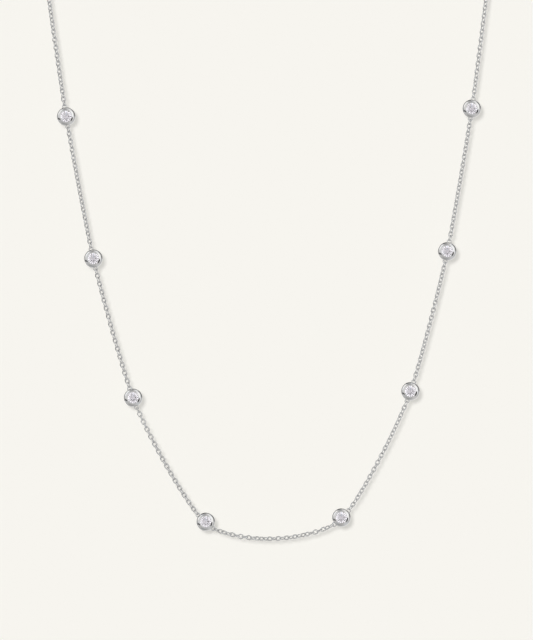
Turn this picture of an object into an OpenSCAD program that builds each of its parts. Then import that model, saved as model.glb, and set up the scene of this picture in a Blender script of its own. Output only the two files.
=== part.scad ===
/* [Chain] */
// Whole length of the closed loop, clasp and stations included
loop_length = 457; // [450:1:465]
// Outer width of the chain's links
link_w = 1.16; // [1.0:0.02:1.2]
// Length of chain between the ears of two stations
run_len = 27.77; // [26:0.01:29]

/* [Hang] */
// Pull at the lowest point, as the length of chain of that weight
slack_pull = 37.1; // [34:0.1:42]
// Weight of one station, as the length of chain of that weight
station_load = 40.7; // [35:0.1:46]
// How far the middle of the lowest run lies to the right of the lowest point
slip = 0.95; // [-2:0.05:2]
// Height above the lowest point at which both sides leave the front plane
front_rise = 126; // [120:1:130]
// Height of the clasp above that
nape_rise = 22; // [16:1:26]

/* [Setting] */
// Greatest outer diameter of the bezel
bezel_d = 4.2; // [4.1:0.05:4.3]
// Height of the bezel's crest above the chain's plane
crest_h = 1.06; // [1.02:0.01:1.1]
// Depth of the bezel's open back below the chain's plane
back_h = 1.0; // [0.95:0.01:1.02]
// Diameter of the wire of an ear
ear_wire_d = 0.28; // [0.24:0.02:0.3]
// Outer width of an ear
ear_w = 1.15; // [1.1:0.01:1.2]
// Reach of an ear's outer end from the middle of its station
ear_reach = 2.9; // [2.85:0.05:3.0]

/* [Stone] */
// Girdle diameter of a stone
stone_d = 2.9; // [2.8:0.02:2.92]
// Width of the table as a part of the girdle diameter
table_part = 0.57; // [0.53:0.01:0.62]
// Height of the crown as a part of the girdle diameter
crown_part = 0.15; // [0.13:0.01:0.16]
// Depth of the pavilion as a part of the girdle diameter
pavilion_part = 0.43; // [0.41:0.005:0.435]

/* [Clasp] */
// Outer diameter of the clasp's ring
clasp_d = 5.3; // [5:0.1:6]
// Diameter of the clasp's wire
clasp_wire_d = 0.9; // [0.8:0.05:1]
// Outer diameter of the ear on the clasp
clasp_ear_d = 1.94; // [1.9:0.02:2.2]
// Diameter of the wire of the clasp's ear
clasp_ear_wire_d = 0.44; // [0.4:0.02:0.5]
// Outer diameter of the ring at the chain's other end
end_ring_d = 3.6; // [3.5:0.1:4]
// Diameter of that ring's wire
end_ring_wire_d = 0.6; // [0.5:0.05:0.6]

/* [Hidden] */
$fn = 48;

// Stations are counted from the upper left, down and up again to the upper right
STATIONS = 8;
PER_SIDE = STATIONS / 2;
LEFT = -1;
RIGHT = 1;
first_left = run_len / 2 - slip;
first_right = run_len / 2 + slip;

// Clearance between the end of a chain and the ring that carries it
seat_gap = 0.1;
// Where a hanging link bears on its ear, from the station's middle
ear_tip = ear_reach - ear_wire_d / 2;
// Chain hidden inside the ear's own reach
end_cut = ear_reach + seat_gap - ear_tip;

TUBE_SIDES = 8;
RUN_RINGS = 6;
RISE_RINGS = 5;
BACK_RINGS = 14;

// Bezel's section: the outer wall's arc, the crest's arc inside it where both point the
// same way, the small arc of the inner edge, the open back, and the ring before it is bored
wall_arc_r = 1.4;
wall_arc_x = bezel_d / 2 - wall_arc_r;
crest_arc_r = 0.68;
crest_z = crest_h - crest_arc_r;
crest_turn = asin(crest_z / (wall_arc_r - crest_arc_r));
crest_x = wall_arc_x + (wall_arc_r - crest_arc_r) * cos(crest_turn);
lip_r = 1.25;
edge_arc_r = crest_x - lip_r;
edge_z = crest_h - edge_arc_r;
back_bore_r = 1.28;
uncut_r = 1.2;

// Stone's sizes and the play around it
stone_play = 0.03;
girdle_r = stone_d / 2;
girdle_h = 0.07;
crown_h = crown_part * stone_d;
pavilion_h = pavilion_part * stone_d;
table_r = table_part * girdle_r;
crown_slope = crown_h / (girdle_r - table_r);
lip_depth = 0.34;
lip_bottom_z = crest_h - lip_depth;
girdle_z = lip_bottom_z - girdle_h / 2 - (girdle_r - lip_r + 2 * stone_play) * crown_slope;
LOWER_HALF_PART = 0.77;

// Clasp: the origin is the middle of its ring
clasp_r = (clasp_d - clasp_wire_d) / 2;
clasp_ear_r = (clasp_ear_d - clasp_ear_wire_d) / 2;
clasp_ear_x = -(clasp_d + clasp_ear_d) / 2 + clasp_ear_wire_d + 0.1;
end_ring_r = (end_ring_d - end_ring_wire_d) / 2;
end_ring_x = clasp_r + end_ring_r - (clasp_wire_d + end_ring_wire_d) / 2 - seat_gap;
clasp_end = clasp_ear_d / 2 - clasp_ear_x + seat_gap;
end_ring_end = end_ring_x + end_ring_d / 2 + seat_gap;

// Handles of the curve that takes each side round the back
turn_handle = 18;
nape_handle = 34;

function unit(v) = v / norm(v);
function asinh(x) = ln(x + sqrt(x * x + 1));

// A chain that hangs: pull is the chain's weight below a point, and a step adds to it
function hang_step(pull, len) = [
  slack_pull * (asinh((pull + len) / slack_pull) - asinh(pull / slack_pull)),
  norm([slack_pull, pull + len]) - norm([slack_pull, pull])
];

// One side, from the lowest point up. Rank 0 is the lowest station of the side
function first_len(side) = side == LEFT ? first_left : first_right;
function pull_below(side, rank) = first_len(side) + rank * (run_len + station_load);
function pull_above(side, rank) = pull_below(side, rank) + station_load;
function station_way(side, rank) = unit([slack_pull, pull_below(side, rank) + station_load / 2]);
function lower_ear(side, rank) =
  rank == 0 ? hang_step(0, first_len(side))
  : upper_ear(side, rank - 1) + hang_step(pull_above(side, rank - 1), run_len);
function upper_ear(side, rank) = lower_ear(side, rank) + 2 * ear_tip * station_way(side, rank);
function station_place(side, rank) = lower_ear(side, rank) + ear_tip * station_way(side, rank);
function station_turn(side, rank) =
  let (way = station_way(side, rank)) side * atan2(way[1], way[0]);

// The top of each side, from its highest station to the height where it turns back
TOP = PER_SIDE - 1;
function rise_len(side, lo = 0, hi = 60, tries = 40) =
  let (mid = (lo + hi) / 2, tip = upper_ear(side, TOP), pull = pull_above(side, TOP))
  tries == 0 ? mid
  : tip[1] + hang_step(pull, mid)[1] < front_rise ? rise_len(side, mid, hi, tries - 1)
  : rise_len(side, lo, mid, tries - 1);
function turn_place(side) =
  upper_ear(side, TOP) + hang_step(pull_above(side, TOP), rise_len(side));
function turn_way(side) = unit([slack_pull, pull_above(side, TOP) + rise_len(side)]);

// From the front plane's own x and height into the part's frame
function placed(side, spot, depth) = [side * spot[0], -depth, spot[1] - front_rise - nape_rise];

// The curve round the back, with its four control points
function side_end(side) = side == LEFT ? clasp_end : end_ring_end;
function back_handles(side, depth) = [
  placed(side, turn_place(side), depth),
  placed(side, turn_place(side) + turn_handle * turn_way(side), depth),
  [side * (side_end(side) + nape_handle), 0, 0],
  [side * side_end(side), 0, 0]
];
function curve_at(c, t) =
  pow(1 - t, 3) * c[0] + 3 * t * pow(1 - t, 2) * c[1] + 3 * t * t * (1 - t) * c[2] + pow(t, 3) * c[3];
function curve_way(c, t) =
  unit(pow(1 - t, 2) * (c[1] - c[0]) + 2 * t * (1 - t) * (c[2] - c[1]) + t * t * (c[3] - c[2]));
function sum(list, i = 0) = i == len(list) ? 0 : list[i] + sum(list, i + 1);
CURVE_STEPS = 40;
function curve_len(c) = sum([
  for (i = [1:CURVE_STEPS]) norm(curve_at(c, i / CURVE_STEPS) - curve_at(c, (i - 1) / CURVE_STEPS))
]);

// The loop's length grows with the depth from the front plane to the clasp
front_len = (STATIONS - 1) * run_len + STATIONS * 2 * ear_tip + rise_len(LEFT) + rise_len(RIGHT);
clasp_len = clasp_end + end_ring_end;
function loop_at(depth) =
  front_len + clasp_len + curve_len(back_handles(LEFT, depth)) + curve_len(back_handles(RIGHT, depth));
function depth_for(lo, hi, tries) =
  let (mid = (lo + hi) / 2)
  tries == 0 ? mid
  : loop_at(mid) < loop_length ? depth_for(mid, hi, tries - 1)
  : depth_for(lo, mid, tries - 1);
depth = depth_for(15, 90, 30);

// Sections of a chain, each a place and a direction
function run_sections(side, rank) = [
  for (i = [0:RUN_RINGS - 1])
    let (
      len = end_cut + (run_len - 2 * end_cut) * i / (RUN_RINGS - 1),
      pull = pull_above(side, rank - 1),
      spot = upper_ear(side, rank - 1) + hang_step(pull, len)
    )
    [placed(side, spot, depth), unit([side * slack_pull, 0, pull + len])]
];
function bottom_sections() = [
  for (i = [0:RUN_RINGS - 1])
    let (len = end_cut - first_left + (run_len - 2 * end_cut) * i / (RUN_RINGS - 1))
    [placed(RIGHT, hang_step(0, len), depth), unit([slack_pull, 0, len])]
];
function side_sections(side) =
  let (c = back_handles(side, depth), pull = pull_above(side, TOP))
  concat(
    [
      for (i = [0:RISE_RINGS - 1])
        let (len = end_cut + (rise_len(side) - end_cut) * i / RISE_RINGS)
        [
          placed(side, upper_ear(side, TOP) + hang_step(pull, len), depth),
          unit([side * slack_pull, 0, pull + len])
        ]
    ],
    [for (i = [0:BACK_RINGS - 1]) let (t = i / (BACK_RINGS - 1)) [curve_at(c, t), curve_way(c, t)]]
  );

// A closed tube through the sections. No section's direction may lie along lean
module tube(sections, lean) {
  last = len(sections) - 1;
  points = [
    for (s = sections)
      let (across = unit(cross(s[1], lean)), over = cross(s[1], across))
      for (k = [0:TUBE_SIDES - 1])
        s[0] + link_w / 2 * (cos(k * 360 / TUBE_SIDES) * across + sin(k * 360 / TUBE_SIDES) * over)
  ];
  walls = [
    for (i = [0:last - 1], k = [0:TUBE_SIDES - 1], half = [0, 1])
      let (a = i * TUBE_SIDES + k, b = i * TUBE_SIDES + (k + 1) % TUBE_SIDES)
      half == 0 ? [a, a + TUBE_SIDES, b + TUBE_SIDES] : [a, b + TUBE_SIDES, b]
  ];
  start_cap = [for (k = [0:TUBE_SIDES - 1]) k];
  end_cap = [for (k = [TUBE_SIDES - 1:-1:0]) last * TUBE_SIDES + k];
  polyhedron(points, concat(walls, [start_cap], [end_cap]));
}

// A ring of round wire, lying in the XY plane
module ring(centre_r, wire_d) {
  rotate_extrude() translate([centre_r, 0]) circle(d = wire_d);
}

// Bezel: a barrel-shaped ring with a rounded crest, bored for its stone, axis along Z
module bezel_section() {
  intersection() {
    translate([wall_arc_x, 0]) circle(r = wall_arc_r);
    polygon([
      [uncut_r, -back_h],
      [wall_arc_x + wall_arc_r, -back_h],
      [wall_arc_x + wall_arc_r, wall_arc_r * tan(crest_turn)],
      [crest_x, crest_z],
      [uncut_r, crest_z]
    ]);
  }
  translate([crest_x, crest_z]) intersection() {
    circle(r = crest_arc_r);
    square(crest_arc_r);
  }
  translate([uncut_r, crest_z]) square([crest_x - uncut_r, edge_z - crest_z]);
  translate([crest_x, edge_z]) circle(r = edge_arc_r);
}

module seat_section() {
  girdle_top = girdle_z + girdle_h / 2 + stone_play;
  girdle_bottom = girdle_z - girdle_h / 2 - stone_play;
  seat_r = girdle_r + stone_play;
  pavilion_slope = pavilion_h / girdle_r;
  polygon([
    [0, crest_h + 1],
    [lip_r, crest_h + 1],
    [lip_r, girdle_top + (seat_r - lip_r) * crown_slope],
    [seat_r, girdle_top],
    [seat_r, girdle_bottom],
    [back_bore_r, girdle_bottom - (seat_r - back_bore_r) * pavilion_slope],
    [back_bore_r, -back_h - 1],
    [0, -back_h - 1]
  ]);
}

module bezel() {
  rotate_extrude() difference() {
    bezel_section();
    seat_section();
  }
}

module ears() {
  for (way = [LEFT, RIGHT])
    translate([way * (ear_reach - ear_w / 2), 0, 0]) ring((ear_w - ear_wire_d) / 2, ear_wire_d);
}

// Round brilliant: an eight-sided table, three rows of crown facets, two of pavilion facets
module brilliant() {
  star_r = (table_r * cos(22.5) + girdle_r) / 2;
  star_z = (girdle_r - star_r * cos(22.5)) * crown_slope;
  lower_r = (1 - LOWER_HALF_PART) * girdle_r;
  lower_z = pavilion_h * (1 - lower_r * cos(22.5) / girdle_r);
  function spot(r, turn, z) = [r * cos(turn), r * sin(turn), z];
  points = concat(
    [for (k = [0:7]) spot(table_r, 45 * k, girdle_h / 2 + crown_h)],
    [for (k = [0:7]) spot(star_r, 45 * k + 22.5, girdle_h / 2 + star_z)],
    [for (k = [0:15]) spot(girdle_r, 22.5 * k, girdle_h / 2)],
    [for (k = [0:15]) spot(girdle_r, 22.5 * k, -girdle_h / 2)],
    [for (k = [0:7]) spot(lower_r, 45 * k + 22.5, -girdle_h / 2 - lower_z)],
    [[0, 0, -girdle_h / 2 - pavilion_h]]
  );
  function table(k) = k % 8;
  function star(k) = 8 + k % 8;
  function upper(k) = 16 + k % 16;
  function under(k) = 32 + k % 16;
  function lower(k) = 48 + k % 8;
  culet = 56;
  faces = concat(
    [[for (k = [7:-1:0]) table(k)]],
    [for (k = [0:7]) [table(k), table(k + 1), star(k)]],
    [for (k = [0:7]) [table(k), star(k), upper(2 * k), star(k + 7)]],
    [for (k = [0:7]) [star(k), upper(2 * k + 1), upper(2 * k)]],
    [for (k = [0:7]) [star(k), upper(2 * k + 2), upper(2 * k + 1)]],
    [for (k = [0:15]) [upper(k), upper(k + 1), under(k + 1), under(k)]],
    [for (k = [0:7]) [lower(k), under(2 * k), under(2 * k + 1)]],
    [for (k = [0:7]) [lower(k), under(2 * k + 1), under(2 * k + 2)]],
    [for (k = [0:7]) [culet, lower(k + 7), under(2 * k), lower(k)]]
  );
  polyhedron(points, faces);
}

// A station's frame: local Z comes out of the front, and local X can follow the chain
function side_of(k) = k <= PER_SIDE ? LEFT : RIGHT;
function rank_of(k) = k <= PER_SIDE ? PER_SIDE - k : k - PER_SIDE - 1;
module at_station(k) {
  translate(placed(side_of(k), station_place(side_of(k), rank_of(k)), depth))
    rotate([90, 0, 0]) children();
}

module setting(k) {
  color("gainsboro") at_station(k) {
    bezel();
    rotate([0, 0, station_turn(side_of(k), rank_of(k))]) ears();
  }
}

module stone(k) {
  color("lavender") at_station(k) translate([0, 0, girdle_z]) brilliant();
}

// Run k joins station k to station k + 1
module chain_run(k) {
  color("silver")
    if (k == PER_SIDE) tube(bottom_sections(), [0, 1, 0]);
    else tube(run_sections(side_of(k), max(rank_of(k), rank_of(k + 1))), [0, 1, 0]);
}

module chain_side(side) {
  color("silver") tube(side_sections(side), [side, 1, 1]);
}

// Clasp: a plain ring that stands facing forward, with a soldered ear for the left side
module clasp() {
  color("gainsboro") rotate([90, 0, 0]) {
    ring(clasp_r, clasp_wire_d);
    translate([clasp_ear_x, 0, 0]) ring(clasp_ear_r, clasp_ear_wire_d);
  }
}

// The right side's ring lies level, through the clasp's
module end_ring() {
  color("silver") translate([end_ring_x, 0, 0]) ring(end_ring_r, end_ring_wire_d);
}

for (k = [1:STATIONS]) {
  setting(k);
  stone(k);
}
for (k = [1:STATIONS - 1])
  chain_run(k);
chain_side(LEFT);  // chain_left
chain_side(RIGHT);  // chain_right
clasp();
end_ring();
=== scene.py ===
# %% [markdown]
# # A station necklace
#
# The real thing is a fine trace chain with eight small bezel-set stones, its stations.
# The construction gives every piece its place and size. This script gives them their
# looks: it forges the chain link by link, polishes the metal, cuts light through the
# stones, and lights it all as a jeweller's photographer would, on a pale surface.
#
# The frame: metres, +Z up, and the front of the necklace faces -Y. Sizes below are
# written in millimetres, as a goldsmith would, and turned into metres where they are used.

# %% Load the frame
import math

import bmesh
import bpy
from mathutils import Matrix, Vector
from mathutils.geometry import interpolate_bezier


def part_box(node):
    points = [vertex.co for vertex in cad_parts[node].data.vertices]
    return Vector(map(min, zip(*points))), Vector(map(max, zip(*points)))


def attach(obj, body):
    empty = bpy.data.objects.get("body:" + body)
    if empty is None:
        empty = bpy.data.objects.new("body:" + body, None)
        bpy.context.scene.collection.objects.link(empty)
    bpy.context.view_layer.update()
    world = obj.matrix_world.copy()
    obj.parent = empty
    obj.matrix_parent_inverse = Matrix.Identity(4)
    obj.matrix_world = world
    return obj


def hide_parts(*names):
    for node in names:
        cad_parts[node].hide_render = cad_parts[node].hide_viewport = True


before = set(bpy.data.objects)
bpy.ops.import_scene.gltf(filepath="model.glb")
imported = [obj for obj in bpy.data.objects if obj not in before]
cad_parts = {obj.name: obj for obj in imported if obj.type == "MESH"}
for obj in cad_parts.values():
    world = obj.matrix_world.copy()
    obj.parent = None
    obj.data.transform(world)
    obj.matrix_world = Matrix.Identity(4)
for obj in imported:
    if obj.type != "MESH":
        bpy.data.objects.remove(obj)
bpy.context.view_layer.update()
MM = 0.001
STATIONS = 8

# %% [markdown]
# ## Shader maths in plain Python
#
# A material is a small sum: a mask times a colour, plus some noise. Wiring it by hand
# takes a node for each step. Here a Signal stands for a number that changes over a
# surface, and +, -, * between signals add the Math nodes, so a mask reads as a formula.
# Every other kind of node comes from one method of the tree's own Shader.


# %% A signal and its shader
class Signal:
    """The output of a node. Sums and products of signals add Math nodes to the shader."""

    def __init__(self, shader, socket):
        self.shader = shader
        self.socket = socket

    def out(self, name):
        """Another output of the same node."""
        return Signal(self.shader, self.socket.node.outputs[name])

    def math(self, operation, first, second):
        return self.shader.node("ShaderNodeMath", {"operation": operation}, {0: first, 1: second})

    def __add__(self, other):
        return self.math("ADD", self, other)

    def __radd__(self, other):
        return self.math("ADD", other, self)

    def __sub__(self, other):
        return self.math("SUBTRACT", self, other)

    def __rsub__(self, other):
        return self.math("SUBTRACT", other, self)

    def __mul__(self, other):
        return self.math("MULTIPLY", self, other)

    def __rmul__(self, other):
        return self.math("MULTIPLY", other, self)


class Shader:
    """The node tree of one material or world."""

    def __init__(self, owner):
        owner.use_nodes = True
        self.tree = owner.node_tree
        self.tree.nodes.clear()

    def node(self, kind, settings=None, sockets=None):
        """Adds a node: its settings first, then a value or a link for each named socket."""
        made = self.tree.nodes.new(kind)
        for name, value in (settings or {}).items():
            setattr(made, name, value)
        for name, value in (sockets or {}).items():
            if isinstance(value, Signal):
                self.tree.links.new(value.socket, made.inputs[name])
            else:
                made.inputs[name].default_value = value
        return Signal(self, made.outputs[0]) if made.outputs else None

    def fade(self, signal, start, end):
        """0 up to start, 1 from end, and a smooth slope between them."""
        sockets = {"Value": signal, "From Min": start, "From Max": end}
        return self.node("ShaderNodeMapRange", {"interpolation_type": "SMOOTHSTEP"}, sockets)

    def blend(self, amount, first, second):
        """A colour between two colours."""
        sockets = {"Factor": amount, 6: first, 7: second}
        mix = self.node("ShaderNodeMix", {"data_type": "RGBA"}, sockets)
        return Signal(self, mix.socket.node.outputs[2])


def grey(level):
    return (level, level, level, 1)


# %% [markdown]
# ## Polished white metal
#
# The settings, the links and the clasp are white metal, polished and plated. Such metal
# has next to no colour of its own: what is seen is the room. What tells it from chrome in
# a drawing is small: a haze of the finest polishing lines, a surface that is not quite
# true, and a breath of warmth or cold from one place to the next. So the material is a
# mirror whose roughness and height wander by a few thousandths. A painted pattern of
# lights and darks would look right from one side only, so none is painted.


# %% The metal's recipe
COOL_TINT = (0.985, 0.995, 1.0)
WARM_TINT = (1.0, 0.985, 0.965)
TINT_EDGES = (0.35, 0.65)
BUFFING_FINENESS = 9
BUFFING_EDGES = (0.35, 0.75)
BUFFING_REST = 0.3
BUFFING_DEPTH = 0.8
RIPPLE_STRENGTH = 0.6


def polish_metal(name, tone, haze, ripple_size, ripple_height):
    """White metal. Tone is its brightness, haze its roughness, and the ripple is in metres."""
    material = bpy.data.materials.new(name)
    shader = Shader(material)
    place = shader.node("ShaderNodeTexCoord").out("Object")
    ripple = shader.node(
        "ShaderNodeTexNoise", {}, {"Vector": place, "Scale": 1 / ripple_size, "Detail": 2.0}
    )
    buffing = shader.node(
        "ShaderNodeTexNoise",
        {},
        {"Vector": place, "Scale": BUFFING_FINENESS / ripple_size, "Detail": 3.0},
    )
    wear = shader.fade(buffing, *BUFFING_EDGES) - BUFFING_REST
    roughness = haze + haze * BUFFING_DEPTH * wear
    cool = (*[tone * part for part in COOL_TINT], 1)
    warm = (*[tone * part for part in WARM_TINT], 1)
    colour = shader.blend(shader.fade(ripple, *TINT_EDGES), cool, warm)
    height = shader.node(
        "ShaderNodeBump",
        {},
        {"Height": ripple, "Distance": ripple_height, "Strength": RIPPLE_STRENGTH},
    )
    surface = shader.node(
        "ShaderNodeBsdfPrincipled",
        {},
        {"Base Color": colour, "Metallic": 1.0, "Roughness": roughness, "Normal": height},
    )
    shader.node("ShaderNodeOutputMaterial", {}, {"Surface": surface})
    return material


# name, tone, haze, and the ripple's size and height
setting_metal = polish_metal("setting_metal", 0.84, 0.05, 1.1 * MM, 0.006 * MM)
chain_metal = polish_metal("chain_metal", 0.80, 0.07, 0.5 * MM, 0.004 * MM)
clasp_metal = polish_metal("clasp_metal", 0.82, 0.08, 1.4 * MM, 0.006 * MM)
print("metals:", [m.name for m in (setting_metal, chain_metal, clasp_metal)])

# %% [markdown]
# ## The stones
#
# A round brilliant is a trap for light. Its pavilion facets are steep enough to throw
# what comes in at the top back out at the top, and that is why it looks white from the
# front and not clear like a window. A picture of that could be painted on, but a real
# refraction does it by itself, and from every side: the solid has all its facets, so it
# only takes a clear material that bends light as strongly as the real stone.

# %% The stone's recipe
STONE_BENDING = 2.42
STONE_BODY = (0.965, 0.955, 0.985, 1)
STONE_CLOUD = (0.95, 0.94, 0.97, 1)
CLOUD_SIZE = 0.7 * MM


def cut_stone():
    material = bpy.data.materials.new("stone")
    shader = Shader(material)
    place = shader.node("ShaderNodeTexCoord").out("Object")
    cloud = shader.node("ShaderNodeTexNoise", {}, {"Vector": place, "Scale": 1 / CLOUD_SIZE})
    body = shader.blend(cloud, STONE_BODY, STONE_CLOUD)
    surface = shader.node(
        "ShaderNodeBsdfPrincipled",
        {},
        {"Base Color": body, "Transmission Weight": 1.0, "IOR": STONE_BENDING, "Roughness": 0.0},
    )
    shader.node("ShaderNodeOutputMaterial", {}, {"Surface": surface})
    return material


stone_clear = cut_stone()
print("stone:", stone_clear.name, "with a refractive index of", STONE_BENDING)

# %% [markdown]
# ## The solids that show as they are
#
# The settings, the stones, the clasp and the end ring come from the construction in their
# true shape, so they only need a finish. The nine stretches of chain are smooth tubes
# there, because so many fine links are too much for it. Links take their place below.

# %% Give the solids their finish
finishes = {"clasp": clasp_metal, "end_ring": clasp_metal}
for k in range(1, STATIONS + 1):
    finishes[f"setting_{k}"] = setting_metal
    finishes[f"stone_{k}"] = stone_clear
for node, material in finishes.items():
    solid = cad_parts[node].data
    solid.materials.clear()
    solid.materials.append(material)
print("solids with a finish:", len(finishes), "of", len(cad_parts))

# %% [markdown]
# ## How a loaded chain hangs
#
# A chain can only pull along its own line, so its steepness at any point is the weight
# that hangs below that point, over the steady sideways pull at the bottom. Each station
# adds its own weight at once, and the line turns there. Written as a step along the
# chain, that is a difference of two inverse hyperbolic sines across, and of two square
# roots up. Weights are counted as the length of chain that weighs the same, so one unit,
# the millimetre, serves for all. The same few numbers shape the solids, and the printed
# misfit shows that both agree.

# %% One side of the hanging front
LEFT = -1
RIGHT = 1
PER_SIDE = STATIONS // 2
RUN_LENGTH = 27.77
SLACK_PULL = 37.1
STATION_LOAD = 40.7
SLIP = 0.95
FRONT_RISE = 126.0
NAPE_RISE = 22.0
EAR_TIP = 2.76


def hang_step(pull, length):
    """The way across and up along a length of chain, from the point with this pull."""
    across = math.asinh((pull + length) / SLACK_PULL) - math.asinh(pull / SLACK_PULL)
    up = math.hypot(SLACK_PULL, pull + length) - math.hypot(SLACK_PULL, pull)
    return Vector((SLACK_PULL * across, up))


def climb(side):
    """The stations of one side from the lowest up: place, direction, and pull above."""
    pull = RUN_LENGTH / 2 + side * SLIP
    spot = hang_step(0, pull)
    stations = []
    for rank in range(PER_SIDE):
        way = Vector((SLACK_PULL, pull + STATION_LOAD / 2)).normalized()
        pull += STATION_LOAD
        stations.append({"spot": spot + EAR_TIP * way, "way": way, "pull": pull})
        spot = spot + 2 * EAR_TIP * way + hang_step(pull, RUN_LENGTH)
        pull += RUN_LENGTH
    return stations


sides = {side: climb(side) for side in (LEFT, RIGHT)}
for side, stations in sides.items():
    top = stations[-1]["spot"]
    print(f"top station: {side * top.x:.1f} mm across and {top.y:.1f} mm up from the lowest point")

# %% Set the hanging line against the solids
chain_low, chain_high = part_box("chain_4")
FRONT_Y = (chain_low.y + chain_high.y) / 2 / MM


def placed(side, spot):
    """From a side's own way out and up to the frame, in millimetres."""
    return Vector((side * spot.x, FRONT_Y, spot.y - FRONT_RISE - NAPE_RISE))


def station_of(k):
    """Stations are counted from the upper left, down and up again to the upper right."""
    side = LEFT if k <= PER_SIDE else RIGHT
    rank = PER_SIDE - k if side == LEFT else k - PER_SIDE - 1
    return side, rank


for k in range(1, STATIONS + 1):
    side, rank = station_of(k)
    low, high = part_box(f"stone_{k}")
    middle = (low + high) / 2 / MM
    spot = placed(side, sides[side][rank]["spot"])
    print(f"station {k}: misfit {math.hypot(middle.x - spot.x, middle.z - spot.z):.4f} mm")

# %% [markdown]
# ## The route of every stretch of chain
#
# Seven runs join the stations, and two long stretches go on up and round to the clasp at
# the nape. Each stretch is a list of close points that its links will follow. A link does
# not start at the ear's middle: it bears on the inside of the ear's wire, on the side to
# which it is pulled. The hanging line ends a little beside that point, so the difference
# is let out over the first few links.

# %% Route helpers
WIRE = 0.28
LINK_GAP = 0.977
LINK_REACH = LINK_GAP + WIRE
LINK_WIDTH = 1.16
EAR_RING_AT = 2.325
EAR_BEARING = 0.155
BEND_IN = 4.0
STEP = 0.1


def route_length(points):
    return sum((b - a).length for a, b in zip(points, points[1:]))


def hang_points(side, spot, pull, length):
    """Points along a hanging stretch, from its lower end up."""
    count = round(length / STEP)
    return [placed(side, spot + hang_step(pull, length * i / count)) for i in range(count + 1)]


def seat_end(points, bearing):
    """Leads the first millimetres of a stretch to the point where its end link bears."""
    drift = bearing - points[0]
    walked = 0.0
    seated = []
    for i, point in enumerate(points):
        walked += (point - points[i - 1]).length if i else 0.0
        ease = max(0.0, 1 - walked / BEND_IN) ** 2
        seated.append(point + drift * ease)
    return seated


def ear_bearing(side, station, upward):
    """Where a link bears inside a station's ear."""
    way = station["way"] if upward else -station["way"]
    ring = station["spot"] + EAR_RING_AT * way
    pull = station["pull"] if upward else station["pull"] - STATION_LOAD
    line = Vector((SLACK_PULL, pull)).normalized()
    return placed(side, ring + EAR_BEARING * (line if upward else -line))


# %% The seven runs
def side_run(side, rank):
    """The run above the station of this rank."""
    below = sides[side][rank]
    above = sides[side][rank + 1]
    tip = below["spot"] + EAR_TIP * below["way"]
    points = hang_points(side, tip, below["pull"], RUN_LENGTH)
    points = seat_end(points, ear_bearing(side, below, True))
    return seat_end(points[::-1], ear_bearing(side, above, False))[::-1]


def bottom_run():
    """The lowest run, from left to right."""
    low_point = Vector((0, 0))
    left, right = [
        hang_points(side, low_point, 0, RUN_LENGTH / 2 + side * SLIP) for side in (LEFT, RIGHT)
    ]
    points = left[::-1] + right[1:]
    points = seat_end(points, ear_bearing(LEFT, sides[LEFT][0], False))
    return seat_end(points[::-1], ear_bearing(RIGHT, sides[RIGHT][0], False))[::-1]


routes = {"chain_4": bottom_run()}
for k in range(1, PER_SIDE):
    routes[f"chain_{k}"] = side_run(LEFT, PER_SIDE - 1 - k)
    routes[f"chain_{STATIONS - k}"] = side_run(RIGHT, PER_SIDE - 1 - k)
for node, points in routes.items():
    print(f"{node}: {route_length(points):.2f} mm")

# %% The two long stretches
CLASP_END = 4.15
END_RING_END = 4.75
TURN_HANDLE = 18.0
NAPE_HANDLE = 34.0
CURVE_POINTS = 1200
CLASP_BEARING = {LEFT: 3.47, RIGHT: 3.91}


def long_stretch(side, side_end):
    """From the top station up the front, round the back and to the clasp."""
    top = sides[side][PER_SIDE - 1]
    tip = top["spot"] + EAR_TIP * top["way"]
    tension_at_turn = FRONT_RISE - tip.y + math.hypot(SLACK_PULL, top["pull"])
    pull_at_turn = math.sqrt(tension_at_turn**2 - SLACK_PULL**2)
    rise = hang_points(side, tip, top["pull"], pull_at_turn - top["pull"])
    way = Vector((side * SLACK_PULL, 0, pull_at_turn)).normalized()
    turn = rise[-1]
    back = interpolate_bezier(
        turn,
        turn + TURN_HANDLE * way,
        Vector((side * (side_end + NAPE_HANDLE), 0, 0)),
        Vector((side * side_end, 0, 0)),
        CURVE_POINTS,
    )
    points = seat_end(rise + back[1:], ear_bearing(side, top, True))
    return points + [Vector((side * CLASP_BEARING[side], 0, 0))]


routes["chain_left"] = long_stretch(LEFT, CLASP_END)
routes["chain_right"] = long_stretch(RIGHT, END_RING_END)
for node in ("chain_left", "chain_right"):
    print(f"{node}: {route_length(routes[node]):.2f} mm")

# %% [markdown]
# ## One link
#
# A trace chain's link is a piece of round wire bent to an oval with straight sides and
# soldered shut. Here the wire's round section is a circle of six points. A spin carries
# it round one end of the oval, an extrusion along the straight side, a second spin round
# the other end, and a bridge closes the last side. There are some four hundred links, so
# each has few faces, and smooth shading does the rest.

# %% Bend a link
WIRE_SIDES = 6
END_STEPS = 5
RANK_STEP = 1000


def corner_rank(face):
    """A number from a face's lowest and highest corner, which no other face of the link has."""
    corners = [v.index for v in face.verts]
    return min(corners) * RANK_STEP + max(corners)


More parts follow.
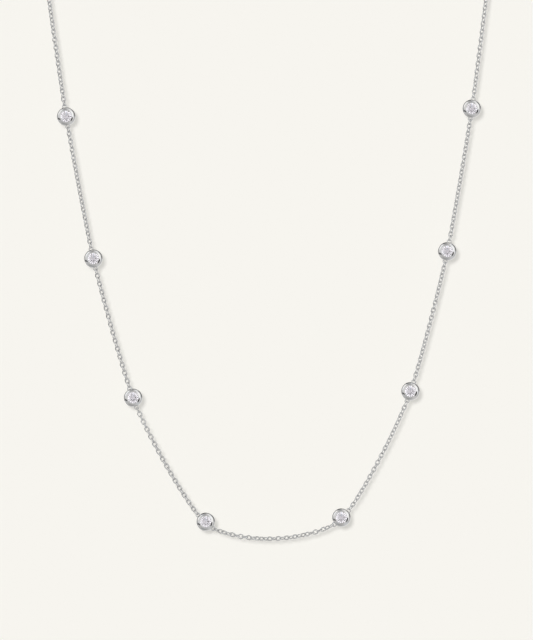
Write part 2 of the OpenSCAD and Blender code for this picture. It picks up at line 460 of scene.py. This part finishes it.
def bend_link():
    """One oval link, its length along Y and its face towards Z, in metres."""
    end_radius = (LINK_WIDTH - WIRE) / 2 * MM
    straight = LINK_REACH * MM - 2 * end_radius
    link = bmesh.new()
    upright = Matrix.Rotation(math.pi / 2, 4, "X")
    upright = Matrix.Translation((end_radius, straight / 2, 0)) @ upright
    bmesh.ops.create_circle(link, segments=WIRE_SIDES, radius=WIRE / 2 * MM, matrix=upright)
    first = list(link.edges)
    middle = Vector((0, straight / 2, 0))
    turned = bmesh.ops.spin(
        link, geom=first, cent=middle, axis=(0, 0, 1), angle=math.pi, steps=END_STEPS
    )["geom_last"]
    ring = [e for e in turned if isinstance(e, bmesh.types.BMEdge)]
    side = bmesh.ops.extrude_edge_only(link, edges=ring)["geom"]
    bmesh.ops.translate(
        link, vec=(0, -straight, 0), verts=[v for v in side if isinstance(v, bmesh.types.BMVert)]
    )
    ring = [e for e in side if isinstance(e, bmesh.types.BMEdge) and e.is_boundary]
    turned = bmesh.ops.spin(
        link, geom=ring, cent=-middle, axis=(0, 0, 1), angle=math.pi, steps=END_STEPS
    )["geom_last"]
    last = [e for e in turned if isinstance(e, bmesh.types.BMEdge)]
    bmesh.ops.bridge_loops(link, edges=first + last)
    bmesh.ops.recalc_face_normals(link, faces=link.faces)
    # A spin's faces come in another order each run. Sorted, they give the same mesh every time
    link.verts.index_update()
    link.faces.sort(key=corner_rank)
    mesh = bpy.data.meshes.new("link")
    link.to_mesh(mesh)
    link.free()
    return mesh


link_mesh = bend_link()
link_size = [max(v.co[i] for v in link_mesh.vertices) * 2 / MM for i in range(3)]
print("link:", [round(s, 3) for s in link_size], "mm,", len(link_mesh.polygons), "faces")

# %% [markdown]
# ## The chain
#
# Each link hangs in the two beside it, turned a quarter about the chain's line. A real
# chain never hangs quite square: its links show now their face, now their edge, and now
# both aslant, as the hand that laid it left them. So each stretch lists the turn of a few
# of its links, and the turn changes evenly between them. The links are counted from the
# lower end, and in the lowest run from the left. The end links are turned so that they
# pass freely through the ears. The spacing is given too, because the stretches hang with
# a little more or less slack.

# %% How each stretch lies
# For each stretch: its spacing in mm, then pairs of a link's number and its turn in degrees
LAY = {
    "chain_left": (0.922, ((0, 68), (5, 47), (10, 30), (16, 28), (22, 45), (60, 20), (114, 0))),
    "chain_1": (0.934, ((0, 62), (3, 51), (18, 43), (24, 33), (29, 28))),
    "chain_2": (0.967, ((0, 62), (3, 70), (8, 60), (15, 61), (23, 57), (28, 62))),
    "chain_3": (0.967, ((0, 62), (6, 67), (14, 70), (22, 78), (28, 88))),
    "chain_4": (
        0.965,
        ((0, 62), (3, 33), (6, 5), (10, 40), (14, 63), (21, 48), (24, 5), (25, 8), (28, 62)),
    ),
    "chain_5": (
        0.933,
        ((0, 62), (4, 46), (12, 68), (15, 62), (18, 50), (24, 45), (27, 34), (29, 28)),
    ),
    "chain_6": (0.903, ((0, 62), (5, 48), (13, 32), (19, 24), (22, 42), (28, 46), (30, 62))),
    "chain_7": (0.903, ((0, 62), (3, 52), (12, 43), (18, 53), (25, 49), (30, 62))),
    "chain_right": (0.922, ((0, 62), (3, 40), (10, 28), (24, 38), (60, 20), (113, 24))),
}


def turn_at(turns, i):
    """The turn between the two given links on either side of link i."""
    for (before, first), (after, second) in zip(turns, turns[1:]):
        if i <= after:
            return first + (second - first) * (i - before) / (after - before)
    return turns[-1][1]


for node, (spacing, turns) in LAY.items():
    print(f"{node}: {spacing} mm from link to link, and {len(turns)} turns are given")

# %% Place the links along a route
QUARTER_TURN = 90


def walk(points, marks):
    """The points at these lengths along a route. Marks are in rising order."""
    spots = []
    walked = 0.0
    i = 0
    for mark in marks:
        while i < len(points) - 2 and walked + (points[i + 1] - points[i]).length < mark:
            walked += (points[i + 1] - points[i]).length
            i += 1
        piece = points[i + 1] - points[i]
        spots.append(points[i] + piece * ((mark - walked) / piece.length))
    return spots


def link_places(points, pitch, turns):
    """A matrix for each link of a stretch. A link at turn 0 shows its face to the front."""
    length = route_length(points)
    count = round((length - LINK_REACH) / pitch) + 1
    pitch = (length - LINK_REACH) / (count - 1)
    starts = walk(points, [i * pitch for i in range(count)])
    ends = walk(points, [i * pitch + LINK_REACH for i in range(count)])
    places = []
    face = Vector((0, 1, 0))
    for i, (start, end) in enumerate(zip(starts, ends)):
        along = (end - start).normalized()
        face = (face - along * face.dot(along)).normalized()
        basis = Matrix((along.cross(face), along, face)).transposed().to_4x4()
        roll = math.radians(QUARTER_TURN * i + turn_at(turns, i))
        middle = Matrix.Translation((start + end) / 2 * MM)
        places.append(middle @ basis @ Matrix.Rotation(roll, 4, "Y"))
    return places, pitch


# %% Forge the stretches
def forge_stretch(node):
    """A stretch of chain, all its links joined in one mesh."""
    places, pitch = link_places(routes[node], *LAY[node])
    chain = bmesh.new()
    for place in places:
        known = len(chain.verts)
        chain.from_mesh(link_mesh)
        chain.verts.ensure_lookup_table()
        bmesh.ops.transform(chain, matrix=place, verts=chain.verts[known:])
    mesh = bpy.data.meshes.new(f"links_{node}")
    chain.to_mesh(mesh)
    chain.free()
    mesh.shade_smooth()
    mesh.materials.append(chain_metal)
    piece = bpy.data.objects.new(f"links_{node}", mesh)
    bpy.context.scene.collection.objects.link(piece)
    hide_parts(node)
    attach(piece, "root")
    print(f"{node}: {len(places)} links, {pitch:.4f} mm apart")


for node in routes:
    forge_stretch(node)

# %% [markdown]
# ## The camera
#
# A small flat jewel is shot from far off with a long lens. Then every stone is seen
# square from the front, wherever it lies in the picture, and all show the same pattern.
# The picture's height covers a known number of millimetres, so the distance follows from
# the lens. The camera leans by half a degree, as in the photo.

# %% Camera
LENS_MM = 1000.0
SENSOR_MM = 36.0
PHOTO_HEIGHT = 640
PIXEL = 0.23
AIM = (-0.38, -97.665)
LEAN = 0.0085
CLIP_START = 0.01

camera_data = bpy.data.cameras.new("camera")
camera_data.lens = LENS_MM
camera_data.sensor_width = SENSOR_MM
camera = bpy.data.objects.new("camera", camera_data)
bpy.context.scene.collection.objects.link(camera)
distance = PHOTO_HEIGHT * PIXEL * LENS_MM / SENSOR_MM
camera.location = Vector((AIM[0], FRONT_Y - distance, AIM[1])) * MM
camera.rotation_euler = (math.pi / 2, LEAN, 0)
camera_data.clip_start = CLIP_START
bpy.context.scene.camera = camera
print("camera:", round(distance), "mm from the front")

# %% [markdown]
# ## The surface, the floor and the lamp
#
# The jewel lies close before a pale matt surface. One broad lamp, in front and a little
# up on the left, lays a soft shadow just to the right and below, and this shadow says how
# close the chain lies. The surface mixes two things: paper that takes the lamp and its
# shadows, and an even glow. The glow makes up exactly what the lamp leaves missing, so
# that open paper has one even tone from edge to edge. The metal doesn't mirror either.

# %% Paper that comes out pale
PALE = (0.930, 0.913, 0.863, 1)
PAPER_TONE = 0.85
LAMP_STRENGTH = 2.4
LAMP_WAY = Vector((0.23, 1, -0.23)).normalized()
AMBIENT = 0.2


def matt_paper(name, facing, fill, one_sided):
    """Paper that comes out exactly pale where no shadow falls on it."""
    material = bpy.data.materials.new(name)
    shader = Shader(material)
    light = AMBIENT - facing.dot(LAMP_WAY) * LAMP_STRENGTH / math.pi
    missing = (1 - (1 - fill) * PAPER_TONE * light) / fill
    paper = (*[PAPER_TONE * c for c in PALE[:3]], 1)
    lit = shader.node("ShaderNodeBsdfDiffuse", {}, {"Color": paper})
    even = shader.node("ShaderNodeEmission", {}, {"Color": PALE, "Strength": missing})
    surface = shader.node("ShaderNodeMixShader", {}, {0: fill, 1: lit, 2: even})
    if one_sided:
        clear = shader.node("ShaderNodeBsdfTransparent")
        back = shader.node("ShaderNodeNewGeometry").out("Backfacing")
        surface = shader.node("ShaderNodeMixShader", {}, {0: back, 1: surface, 2: clear})
    shader.node("ShaderNodeOutputMaterial", {}, {"Surface": surface})
    return material


# %% The surface behind and the floor
SURFACE_GAP = 2.0 * MM
SURFACE_TOP = -23.5 * MM
SURFACE_WIDTH = 260 * MM
SURFACE_FILL = 0.5
FLOOR_Z = -215 * MM
FLOOR_SIZE = 6.0
FLOOR_FILL = 0.8


def stage_plane(name, matrix, width, height, material):
    """A flat piece of the studio, which is not part of the necklace."""
    sheet = bmesh.new()
    bmesh.ops.create_grid(sheet, x_segments=1, y_segments=1, size=0.5)
    bmesh.ops.scale(sheet, vec=(width, height, 1), verts=sheet.verts)
    bmesh.ops.transform(sheet, matrix=matrix, verts=sheet.verts)
    mesh = bpy.data.meshes.new(name)
    sheet.to_mesh(mesh)
    sheet.free()
    mesh.materials.append(material)
    piece = bpy.data.objects.new(name, mesh)
    bpy.context.scene.collection.objects.link(piece)
    return piece


bezel_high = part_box("setting_1")[1]
surface_height = SURFACE_TOP - FLOOR_Z
surface_at = Vector((0, bezel_high.y + SURFACE_GAP, FLOOR_Z + surface_height / 2))
facing_front = Matrix.Translation(surface_at) @ Matrix.Rotation(math.pi / 2, 4, "X")
surface_paper = matt_paper("surface", Vector((0, -1, 0)), SURFACE_FILL, True)
surface = stage_plane("surface", facing_front, SURFACE_WIDTH, surface_height, surface_paper)
for ray in ("diffuse", "glossy", "transmission", "shadow", "volume_scatter"):
    setattr(surface, f"visible_{ray}", False)
floor_paper = matt_paper("floor", Vector((0, 0, 1)), FLOOR_FILL, False)
floor_at = Matrix.Translation((0, 0, FLOOR_Z))
floor = stage_plane("floor", floor_at, FLOOR_SIZE, FLOOR_SIZE, floor_paper)
for ray in ("diffuse", "glossy", "transmission"):
    setattr(floor, f"visible_{ray}", False)
print(f"surface at y {surface_at.y / MM:.1f} mm, floor at z {FLOOR_Z / MM:.0f} mm")

# %% Lamp
LAMP_ANGLE = 16

lamp_data = bpy.data.lights.new("lamp", "SUN")
lamp_data.energy = LAMP_STRENGTH
lamp_data.angle = math.radians(LAMP_ANGLE)
lamp = bpy.data.objects.new("lamp", lamp_data)
lamp.rotation_mode = "QUATERNION"
lamp.rotation_quaternion = LAMP_WAY.to_track_quat("-Z", "Y")
lamp.visible_glossy = False
lamp.visible_transmission = False
bpy.context.scene.collection.objects.link(lamp)
print("lamp:", LAMP_STRENGTH, "strong and", LAMP_ANGLE, "degrees wide")

# %% [markdown]
# ## The room
#
# Polished metal shows the room and nothing else, so the room has to be worth showing. It
# is drawn as a world, in patches. A patch is a sector of azimuths, which turn from the
# right over the top, crossed with a band of tilts, which lean away from the front. Later
# patches cover earlier ones. The studio is bright at the upper right and left, greyer
# below, dim at the back, and a few narrow dark patches draw the crisp dark bars on the
# bezels' crests. Light that has passed through a stone meets a second room with stronger
# contrasts, because that is where a brilliant's sparkle comes from.

# %% A shader that knows the room
BACK = 180


def toward(azimuth, tilt):
    """The direction of an azimuth and a tilt."""
    a = math.radians(azimuth)
    t = math.radians(tilt)
    return (math.sin(t) * math.cos(a), -math.cos(t), math.sin(t) * math.sin(a))


class Room(Shader):
    """The world's shader, which makes a mask of any patch of the room."""

    def __init__(self, world):
        super().__init__(world)
        self.look = self.node("ShaderNodeTexCoord").out("Generated")
        flat = self.vector_math("MULTIPLY", self.look, (1, 0, 1))
        self.across = self.vector_math("NORMALIZE", flat, (0, 0, 0))

    def vector_math(self, operation, first, second):
        return self.node("ShaderNodeVectorMath", {"operation": operation}, {0: first, 1: second})

    def near(self, way, direction, angle, soft):
        """1 where a way lies within an angle of a direction."""
        closeness = self.vector_math("DOT_PRODUCT", way, direction).out("Value")
        ends = (math.cos(math.radians(angle + soft)), math.cos(math.radians(angle - soft)))
        return self.fade(closeness, *ends)

    def patch(self, azimuths, tilts):
        """1 on a patch of the room, 0 elsewhere."""
        mask = 1.0
        if azimuths:
            azimuth, half, soft = azimuths
            mask = mask * self.near(self.across, toward(azimuth, 90), half, soft)
        nearest, farthest, soft = tilts
        if farthest < BACK:
            mask = mask * self.near(self.look, toward(0, 0), farthest, soft)
        if nearest > 0:
            mask = mask * (1 - self.near(self.look, toward(0, 0), nearest, soft))
        return mask


# %% What the polished metal mirrors
ANY_TILT = (0, BACK, 0)
STUDIO_LEVEL = 0.73
# level, azimuths as (middle, half width, softness), and tilts as (nearest, farthest, softness),
# where None stands for all azimuths
STUDIO = (
    (0.52, (268, 60, 9), ANY_TILT),
    (0.62, (310, 18, 10), ANY_TILT),
    (0.36, (254, 16, 14), (52, 118, 12)),
    (1.08, (6, 20, 8), (0, 68, 8)),
    (1.10, (34, 15, 8), (16, 92, 8)),
    (0.94, (60, 12, 8), (48, 114, 10)),
    (0.52, (73, 7, 6), (20, 62, 8)),
    (0.90, (130, 50, 10), (0, 16, 6)),
    (0.56, (124, 9, 8), (24, 60, 8)),
    (1.08, (142, 22, 8), (74, 130, 8)),
    (0.40, (100, 14, 8), (16, 96, 8)),
    (0.04, (104, 16, 8), (112, BACK, 8)),
    (0.20, (80, 16, 8), (130, BACK, 8)),
    (0.02, (138, 42, 10), (136, BACK, 6)),
    (0.30, (188, 12, 6), (110, BACK, 8)),
    (0.42, (350, 26, 10), (92, 136, 9)),
    (0.16, (30, 26, 10), (108, BACK, 8)),
    (0.80, (305, 45, 10), (134, BACK, 8)),
    (0.0, (336, 18, 4), (0, 44, 5)),
    (0.05, None, (0, 5, 2)),
    (0.02, (202, 5, 4), (24, 75, 10)),
    (0.08, (195, 5, 4), (55, 126, 12)),
)


def mirrored_studio(room):
    """The studio in greys, each patch over those before it."""
    level = STUDIO_LEVEL
    for patch_level, azimuths, tilts in STUDIO:
        mask = room.patch(azimuths, tilts)
        level = level * (1 - mask) + patch_level * mask
    return room.node("ShaderNodeBackground", {}, {"Color": grey(1.0), "Strength": level})


# %% What lights the stones from inside
GLOW_COLOUR = (0.14, 0.11, 0.11, 1)
# colour, then azimuths and tilts as above
GLOW = (
    ((0.93, 0.90, 0.925, 1), None, (0, 92, 6)),
    (grey(2.4), (300, 40, 8), (62, 90, 5)),
    (grey(2.4), (150, 24, 8), (50, 62, 4)),
    (grey(2.2), (270, 42, 8), (24, 32, 3)),
    ((2.0, 1.95, 2.0, 1), None, (15, 24, 2)),
    (grey(1.03), (270, 38, 8), (15, 24, 2)),
    (grey(0.03), None, (0, 15, 2)),
    ((0.45, 0.53, 0.60, 1), (90, 30, 8), (0, 15, 2)),
    (grey(0.6), (45, 15, 8), (0, 15, 2)),
    (grey(0.5), (163, 33, 8), (0, 15, 2)),
    ((0.38, 0.31, 0.31, 1), (350, 16, 8), (33, 50, 4)),
    ((0.36, 0.29, 0.31, 1), (280, 12, 8), (33, 50, 4)),
)


def glow_inside(room):
    """The second room in colours, each patch over those before it."""
    glow = GLOW_COLOUR
    for colour, azimuths, tilts in GLOW:
        glow = room.blend(room.patch(azimuths, tilts), glow, colour)
    return room.node("ShaderNodeBackground", {}, {"Color": glow, "Strength": 1.0})


# %% Light the room
world = bpy.data.worlds.new("room")
bpy.context.scene.world = world
room = Room(world)
views = {
    "Is Camera Ray": room.node("ShaderNodeBackground", {}, {"Color": PALE}),
    "Is Glossy Ray": mirrored_studio(room),
    "Is Transmission Ray": glow_inside(room),
}
path = room.node("ShaderNodeLightPath")
shown = room.node("ShaderNodeBackground", {}, {"Color": grey(1.0), "Strength": AMBIENT})
for ray, view in views.items():
    shown = room.node("ShaderNodeMixShader", {}, {0: path.out(ray), 1: shown, 2: view})
room.node("ShaderNodeOutputWorld", {}, {"Surface": shown})
bpy.context.scene.view_settings.view_transform = "Standard"
print("room:", len(STUDIO), "patches for the metal and", len(GLOW), "for the stones")
